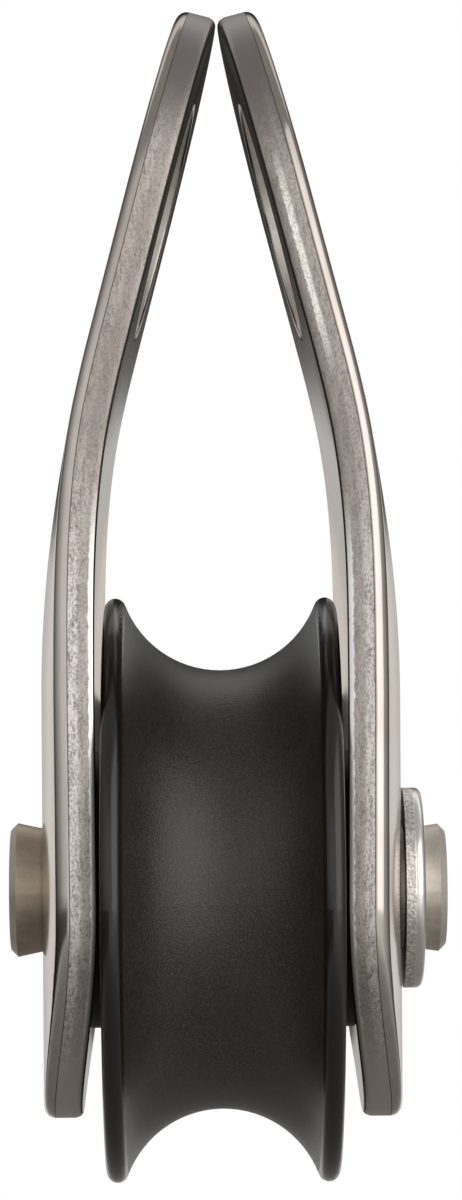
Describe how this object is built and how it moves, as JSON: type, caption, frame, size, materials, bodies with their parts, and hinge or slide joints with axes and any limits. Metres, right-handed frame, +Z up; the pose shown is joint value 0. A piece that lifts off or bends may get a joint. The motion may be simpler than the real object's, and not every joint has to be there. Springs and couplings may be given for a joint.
{
  "type": "rescue pulley",
  "caption": "Rescue pulley: leaning steel side plates with carabiner eyes, one swinging open, round a black grooved sheave on sealed ball bearings.",
  "frame": {"origin": "centre of the sheave, on the axle", "axes": "+Y along the axle towards the swinging plate, +Z up towards the carabiner eyes, X along the rope"},
  "size_m": [0.0474, 0.0353, 0.0952],
  "materials": {
    "plate_steel": "tumbled satin",
    "axle_steel": "turned",
    "sheave_black": "black anodised satin",
    "thrust_black": "matte",
    "bearing_steel": "ground",
    "cage_nylon": "moulded",
    "seal_rubber": "moulded"
  },
  "bodies": {
    "fixed_plate": {"left_side_plate": "plate_steel", "axle": "axle_steel", "retaining_washer": "plate_steel", "left_thrust_washer": "thrust_black", "right_thrust_washer": "thrust_black", "bearing_spacer": "bearing_steel", "left_bearing_inner_ring": "bearing_steel", "right_bearing_inner_ring": "bearing_steel"},
    "sheave": {"sheave": "sheave_black", "left_bearing_outer_ring": "bearing_steel", "right_bearing_outer_ring": "bearing_steel", "left_outboard_seal": "seal_rubber", "left_inboard_seal": "seal_rubber", "right_outboard_seal": "seal_rubber", "right_inboard_seal": "seal_rubber"},
    "ball_sets": {"left_bearing_balls": "bearing_steel", "right_bearing_balls": "bearing_steel", "left_bearing_cage": "cage_nylon", "right_bearing_cage": "cage_nylon"},
    "swinging_plate": {"right_side_plate": "plate_steel"}
  },
  "joints": [
    {"name": "sheave_spin", "type": "hinge", "parent": "fixed_plate", "child": "sheave", "pos_m": [0, 0, 0], "axis": [0, 1, 0], "continuous": true},
    {"name": "ball_set_orbit", "type": "hinge", "parent": "fixed_plate", "child": "ball_sets", "pos_m": [0, 0, 0], "axis": [0, 1, 0], "continuous": true},
    {"name": "right_plate_swing", "type": "hinge", "parent": "fixed_plate", "child": "swinging_plate", "pos_m": [0, 0, 0], "axis": [0, 1, 0], "continuous": true}
  ],
  "couplings": [
    {"joint": "ball_set_orbit", "follows": "sheave_spin", "ratio": 0.6}
  ]
}
